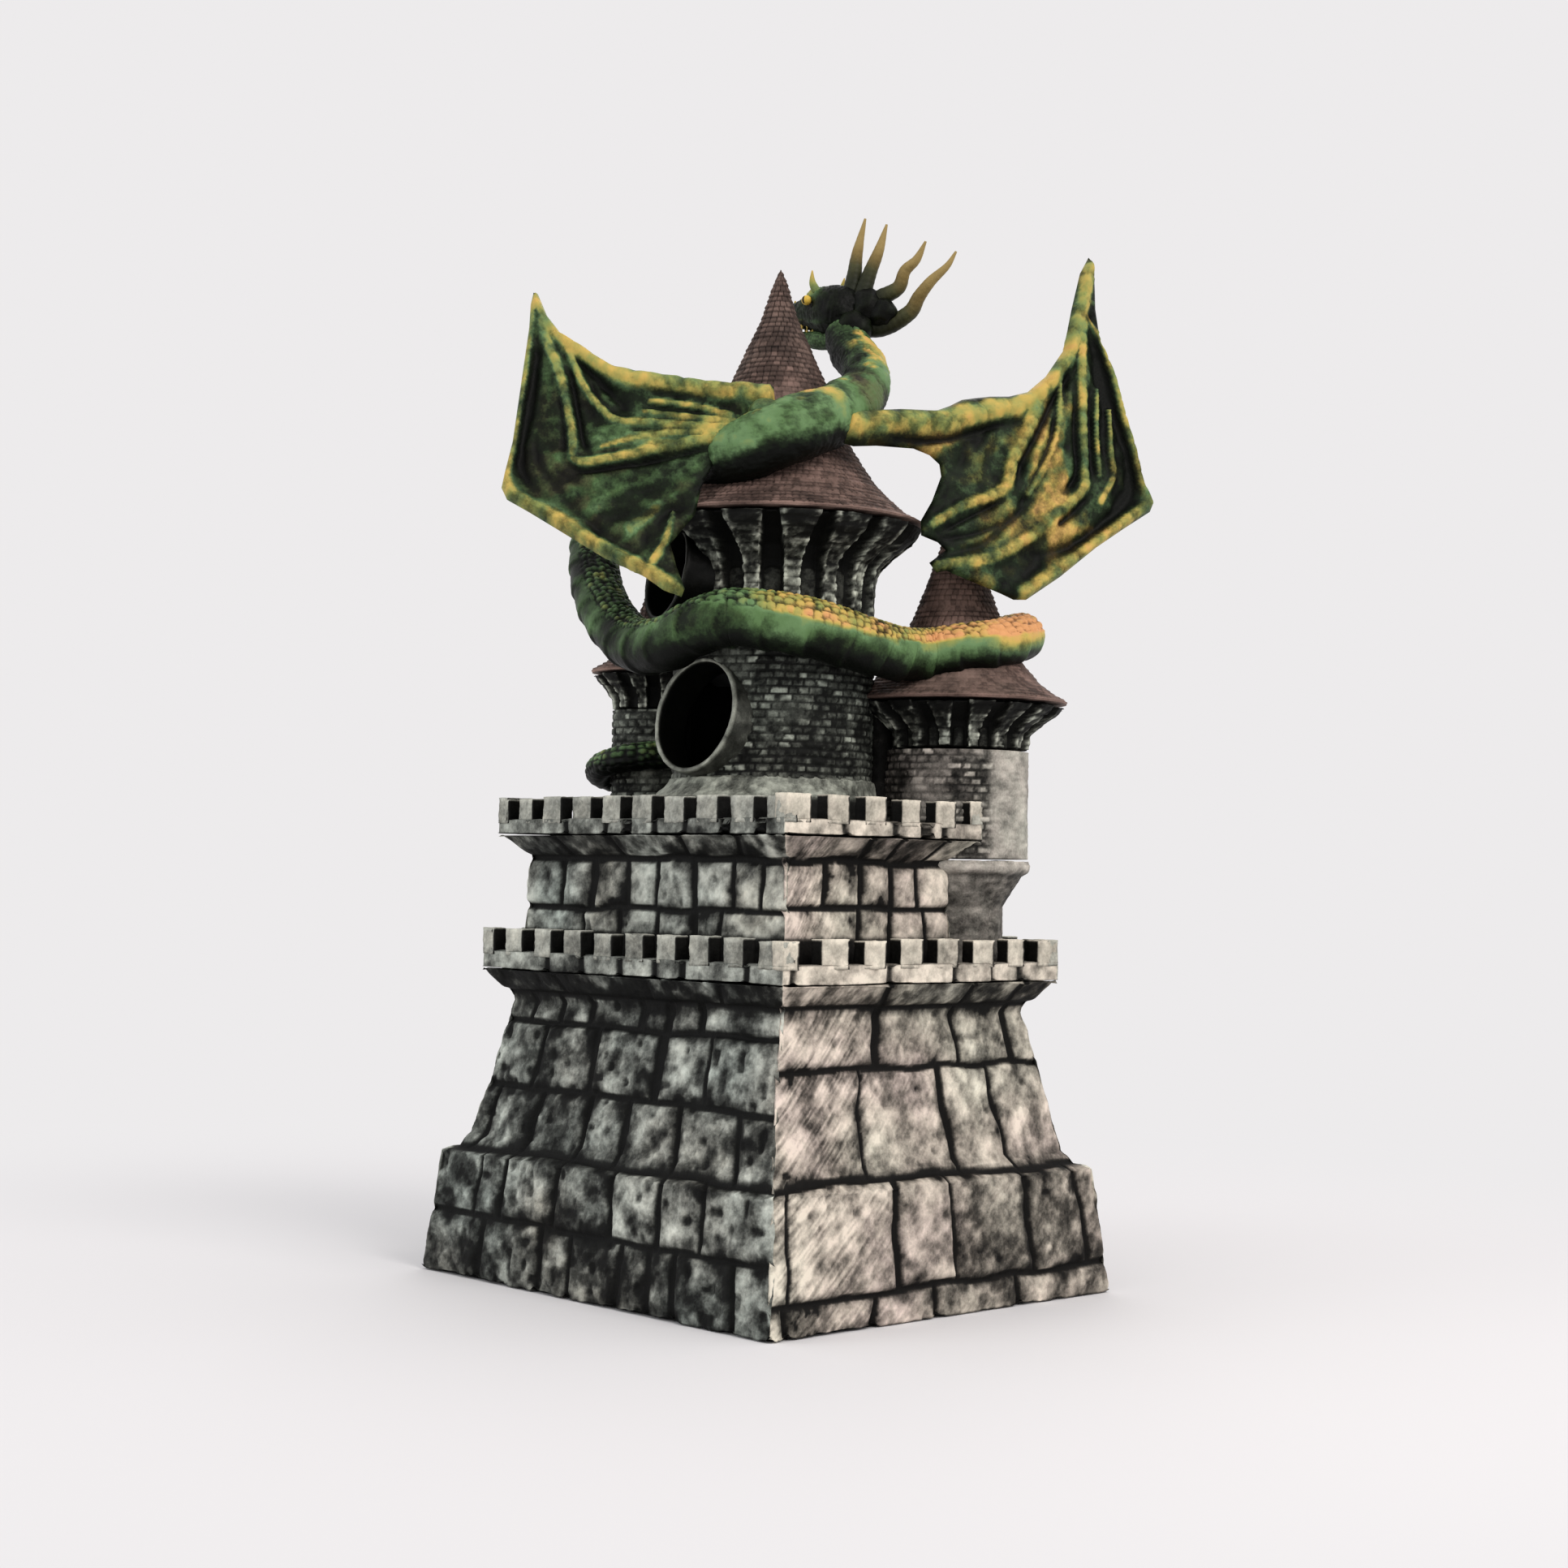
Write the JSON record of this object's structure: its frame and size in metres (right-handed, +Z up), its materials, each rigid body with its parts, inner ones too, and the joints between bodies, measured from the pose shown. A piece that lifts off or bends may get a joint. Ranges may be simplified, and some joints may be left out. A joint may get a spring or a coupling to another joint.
{
  "type": "dice tower",
  "caption": "Castle-shaped dice tower with round entry ports, an inner chute and ramp to an arched gate, and a winged dragon coiled round its towers.",
  "frame": {"origin": "middle of the underside of the base plate, where it rests on a table", "axes": "+Z up; -Y is the wall below the entry ports, +Y the wall with the gate, +X the wall beside the right tower"},
  "size_m": [0.1642, 0.17, 0.3219],
  "materials": {
    "castle_stone": "cast resin painted as rough grey stone, black in the joints and dry-brushed pale on the edges",
    "tower_stone": "cast resin painted as small grey bricks, black between, pale on the posts and ledges",
    "roof_shingle": "cast resin painted as mauve-brown shingles with dark gaps",
    "port_pipe": "dark grey metallic paint worn pale along the rim",
    "inner_wall": "plain black paint",
    "dragon_skin": "painted scales, green below and yellow-ochre along the back, dark washes between",
    "dragon_wing": "painted membrane, dark green in the folds and yellow-ochre on the bones",
    "dragon_horn": "painted horn, dark at the root and ochre at the tip",
    "dragon_eye": "glossy amber"
  },
  "bodies": {
    "root": {"base_plate": "castle_stone", "base_walls": "castle_stone", "terrace_floor": "castle_stone", "lower_battlement": "castle_stone", "keep_walls": "castle_stone", "keep_deck": "castle_stone", "upper_battlement": "castle_stone", "gate_surround": "castle_stone", "main_tower_skirt": "tower_stone", "main_tower_drum": "tower_stone", "main_tower_gallery": "tower_stone", "right_tower_stem": "tower_stone", "right_tower_drum": "tower_stone", "right_tower_gallery": "tower_stone", "left_turret_drum": "tower_stone", "left_turret_gallery": "tower_stone", "main_tower_roof": "roof_shingle", "right_tower_roof": "roof_shingle", "left_turret_roof": "roof_shingle", "lower_port": "port_pipe", "upper_port": "port_pipe", "port_deflector": "inner_wall", "drop_chute": "inner_wall", "keep_baffle": "inner_wall", "ramp_cheek_left": "inner_wall", "ramp_cheek_right": "inner_wall", "exit_ramp": "inner_wall", "tail_root": "dragon_skin", "tail_sling": "dragon_skin", "tail_front_band": "dragon_skin", "tail_rear_band": "dragon_skin", "tail_tip": "dragon_skin", "torso": "dragon_skin", "neck": "dragon_skin", "head": "dragon_skin", "lower_jaw": "dragon_skin", "wing_left": "dragon_wing", "wing_right": "dragon_wing", "horn_1": "dragon_horn", "horn_2": "dragon_horn", "horn_3": "dragon_horn", "horn_4": "dragon_horn", "eye_left": "dragon_eye", "eye_right": "dragon_eye"}
  },
  "joints": []
}
